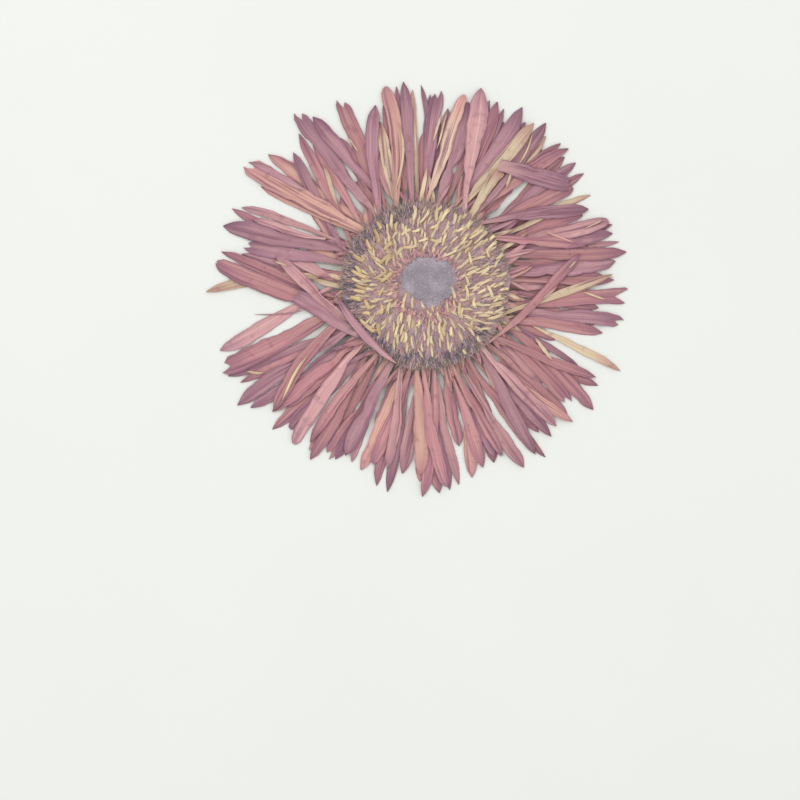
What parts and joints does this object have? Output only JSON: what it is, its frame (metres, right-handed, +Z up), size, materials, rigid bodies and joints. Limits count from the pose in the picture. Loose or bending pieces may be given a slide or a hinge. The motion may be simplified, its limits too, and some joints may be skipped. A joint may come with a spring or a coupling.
{
  "type": "pressed daisy",
  "caption": "Dried, pressed daisy-like flower head lying flat: layered brick-red ray petals round a disc of yellow florets with a grey-mauve felted middle.",
  "frame": {"origin": "middle of the stem scar on the back, the flat spot that the head rests on", "axes": "+Z up out of the face of the flower; +X to the right and +Y to the top of the flower as seen from above"},
  "size_m": [0.0926, 0.0895, 0.0049],
  "materials": {
    "bract": "dried, dull, slightly hairy plant tissue, olive brown",
    "outer_petal": "dried petal, papery and veined, brick to dusky rose",
    "inner_petal": "dried petal, papery and veined, rose to salmon",
    "floret": "dry, dull, yellow ochre over a maroon ground",
    "centre": "matt, felted, grey mauve"
  },
  "bodies": {
    "root": {"involucre": "bract", "outer_rays": "outer_petal", "inner_rays": "inner_petal", "disc_florets": "floret", "disc_centre": "centre"}
  },
  "joints": []
}
